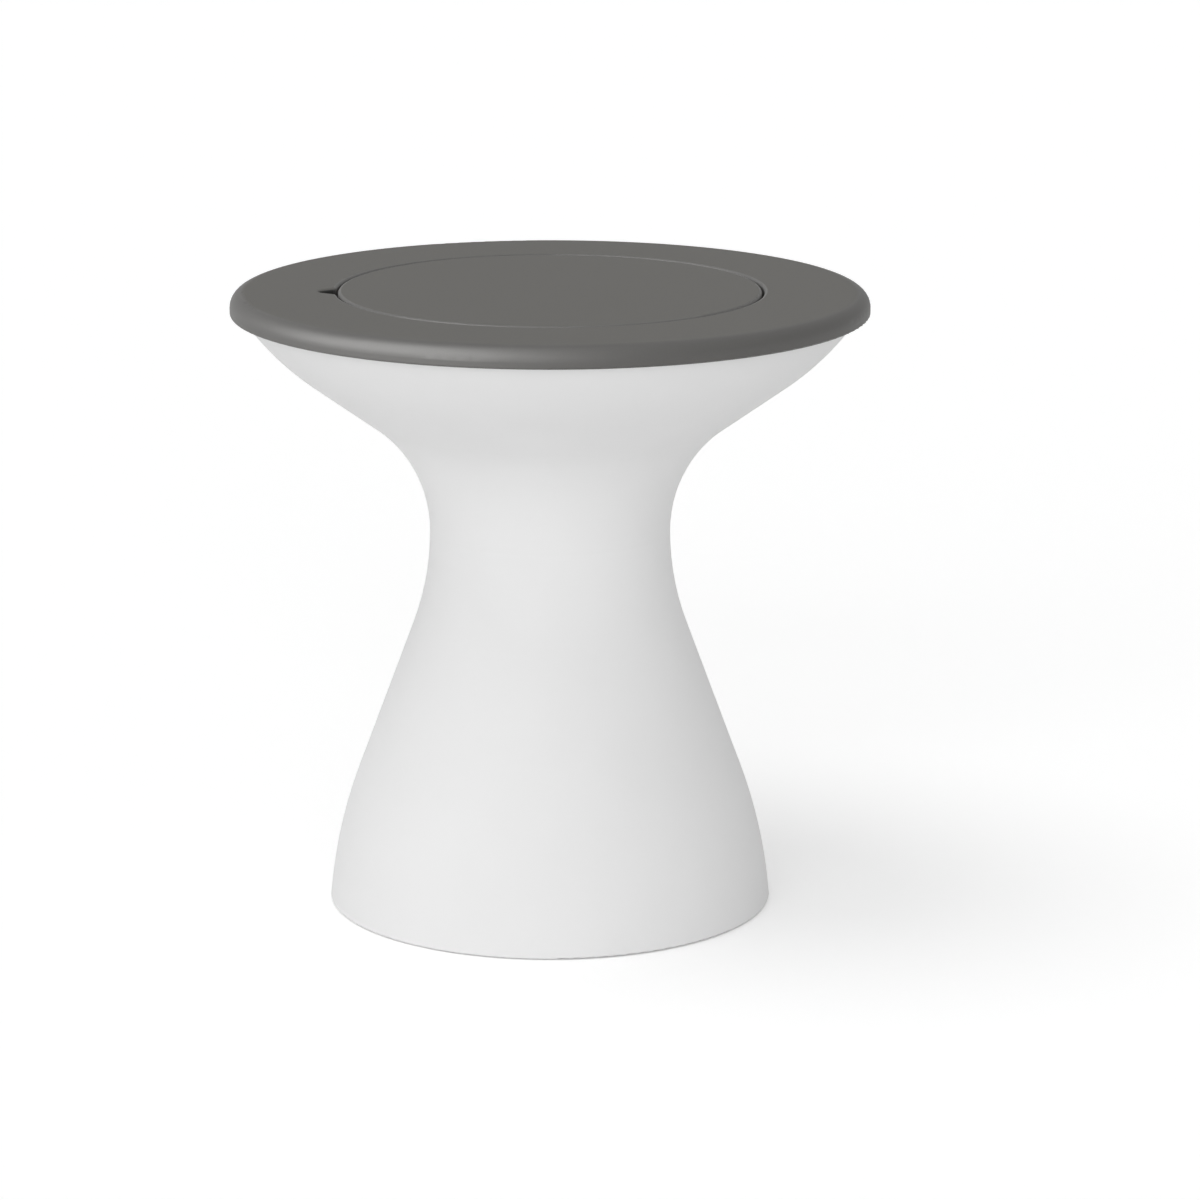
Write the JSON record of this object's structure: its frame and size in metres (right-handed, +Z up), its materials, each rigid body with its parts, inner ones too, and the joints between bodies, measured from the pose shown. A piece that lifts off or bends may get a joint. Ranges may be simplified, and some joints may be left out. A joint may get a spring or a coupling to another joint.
{
  "type": "cooler side table",
  "caption": "Round side table on an hourglass pedestal, with a lift-off lid set flush in its top over an insulated ice bin that drains through the base.",
  "frame": {"origin": "on the floor under the middle of the table, at the underside of the rubber feet", "axes": "+Z up along the pedestal's axis; -X towards the finger notch, -Y towards the viewer"},
  "size_m": [0.516, 0.516, 0.508],
  "materials": {
    "body_resin": "satin white moulded polyethylene with a very fine grain",
    "top_resin": "matt warm grey moulded polyethylene with a fine grain",
    "base_resin": "matt warm grey moulded polyethylene",
    "liner_resin": "smooth semi-gloss white food-safe polyethylene",
    "foam": "closed-cell polyurethane foam",
    "seal_rubber": "soft grey silicone rubber",
    "foot_rubber": "matt black rubber",
    "fitting_resin": "smooth white moulded nylon",
    "plug_resin": "matt grey moulded plastic",
    "hose_vinyl": "milky vinyl hose",
    "stainless": "plain stainless steel",
    "brass": "turned brass"
  },
  "bodies": {
    "table": {"pedestal_shell": "body_resin", "tabletop_ring": "top_resin", "ring_screws": "stainless", "ring_inserts": "brass", "ice_bin": "liner_resin", "bin_flange_gasket": "seal_rubber", "insulation_jacket": "foam", "drain_fitting": "fitting_resin", "outlet_fitting": "fitting_resin", "drain_washers": "seal_rubber", "drain_lock_nuts": "fitting_resin", "drain_hose": "hose_vinyl", "hose_clamps": "stainless", "base_plate": "base_resin", "base_screws": "stainless", "base_inserts": "brass", "rubber_feet": "foot_rubber"},
    "lid": {"lid_cover": "top_resin", "lid_pan": "liner_resin", "lid_foam": "foam", "lid_gasket": "seal_rubber", "lid_screws": "stainless"},
    "plug": {"drain_plug": "plug_resin", "plug_o_ring": "seal_rubber"}
  },
  "joints": [
    {"name": "lid_lift", "type": "slide", "parent": "table", "child": "lid", "axis": [0, 0, 1], "range_m": [0, 0.15]},
    {"name": "drain_plug_pull", "type": "slide", "parent": "table", "child": "plug", "axis": [0, 0, 1], "range_m": [0, 0.06]}
  ]
}
